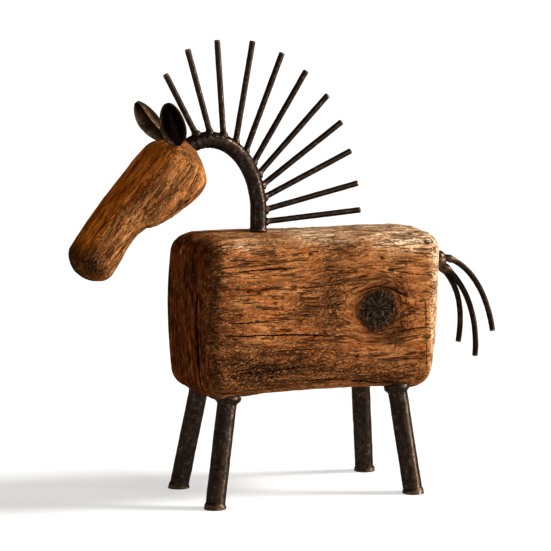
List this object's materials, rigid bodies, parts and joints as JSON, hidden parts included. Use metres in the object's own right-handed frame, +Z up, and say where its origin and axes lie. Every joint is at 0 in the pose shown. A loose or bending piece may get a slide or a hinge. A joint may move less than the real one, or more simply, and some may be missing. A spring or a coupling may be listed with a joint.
{
  "type": "horse figurine",
  "caption": "Standing horse figurine with a block body and a plain head of weathered wood, a bent iron neck with a fan of iron rods for a mane, iron rod legs and a rod tail.",
  "frame": {"origin": "on the ground under the middle of the figure's box, seen from above", "axes": "+Z up, the horse faces -X and its left side is at -Y"},
  "size_m": [0.2254, 0.071, 0.2268],
  "materials": {
    "body_wood": "weathered, oiled",
    "head_wood": "weathered, oiled",
    "neck_iron": "hammered, blackened",
    "mane_iron": "hammered, blackened",
    "ear_iron": "blackened sheet",
    "leg_iron": "hammered, blackened",
    "tail_iron": "blackened"
  },
  "bodies": {
    "root": {"body": "body_wood", "head": "head_wood", "neck": "neck_iron", "mane_rod_01": "mane_iron", "mane_rod_02": "mane_iron", "mane_rod_03": "mane_iron", "mane_rod_04": "mane_iron", "mane_rod_05": "mane_iron", "mane_rod_06": "mane_iron", "mane_rod_07": "mane_iron", "mane_rod_08": "mane_iron", "mane_rod_09": "mane_iron", "mane_rod_10": "mane_iron", "mane_rod_11": "mane_iron", "ear_left": "ear_iron", "ear_right": "ear_iron", "leg_front_left": "leg_iron", "leg_front_right": "leg_iron", "leg_rear_left": "leg_iron", "leg_rear_right": "leg_iron", "tail_stub": "tail_iron", "tail_rod_1": "tail_iron", "tail_rod_2": "tail_iron", "tail_rod_3": "tail_iron"}
  },
  "joints": []
}
